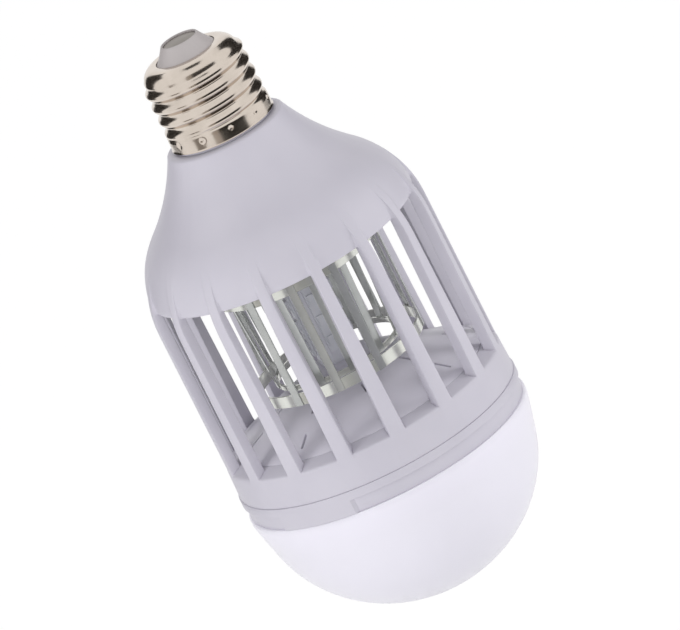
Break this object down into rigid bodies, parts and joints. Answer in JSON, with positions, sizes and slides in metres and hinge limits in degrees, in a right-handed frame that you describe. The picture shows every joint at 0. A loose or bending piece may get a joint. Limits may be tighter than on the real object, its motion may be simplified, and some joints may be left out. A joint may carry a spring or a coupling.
{
  "type": "insect killer light bulb",
  "caption": "Screw-in lamp whose bell-shaped slatted cage holds an electric insect grid round an ultraviolet post, above a domed white diffuser.",
  "frame": {"origin": "middle of the end contact's outer face, at the top of the screw cap", "axes": "+Z along the bulb's axis out of the end contact, so the cap is up and the dome is down; one slat faces -Y, the side the picture shows"},
  "size_m": [0.075, 0.075, 0.1544],
  "materials": {
    "cage_plastic": "moulded white plastic with a cool cast, satin",
    "diffuser_opal": "opal white diffusing plastic, smooth",
    "cap_nickel": "bright nickel plate, warm",
    "insulator_grey": "light warm grey plastic",
    "contact_metal": "dull nickel plate",
    "grid_metal": "bright tinned sheet",
    "post_plastic": "white plastic, in shade",
    "strip_board": "white solder mask",
    "emitter_face": "pale yellow resin in a white body",
    "lamp_board_metal": "aluminium core, white solder mask",
    "green_board": "green solder mask",
    "capacitor_sleeve": "black sleeve",
    "ferrite": "dark grey ferrite",
    "winding_tape": "yellow tape over copper wire",
    "film_red": "red epoxy",
    "resistor_green": "green cement",
    "black_epoxy": "black moulded epoxy",
    "disc_blue": "blue epoxy",
    "wire_red": "red insulation",
    "wire_black": "black insulation",
    "wire_white": "white insulation",
    "screw_steel": "zinc plated steel"
  },
  "bodies": {
    "root": {"cap_shell": "cap_nickel", "cap_insulator": "insulator_grey", "end_contact": "contact_metal", "cage_housing": "cage_plastic", "chamber_ceiling": "cage_plastic", "chamber_floor": "cage_plastic", "outer_grid": "grid_metal", "inner_grid": "grid_metal", "uv_post": "post_plastic", "post_nuts": "screw_steel", "uv_boards": "strip_board", "uv_emitters": "emitter_face", "lamp_ring": "cage_plastic", "lamp_board": "lamp_board_metal", "white_emitters": "emitter_face", "diffuser": "diffuser_opal", "driver_board": "green_board", "bulk_capacitor": "capacitor_sleeve", "transformer_core": "ferrite", "transformer_coil": "winding_tape", "film_capacitor": "film_red", "fuse_resistor": "resistor_green", "rectifier": "black_epoxy", "driver_chip": "black_epoxy", "disc_capacitors": "disc_blue", "high_voltage_diodes": "black_epoxy", "live_lead": "wire_red", "neutral_lead": "wire_black", "grid_leads": "wire_red", "lamp_leads": "wire_white", "ceiling_screws": "screw_steel", "driver_screws": "screw_steel", "lamp_screws": "screw_steel"}
  },
  "joints": []
}
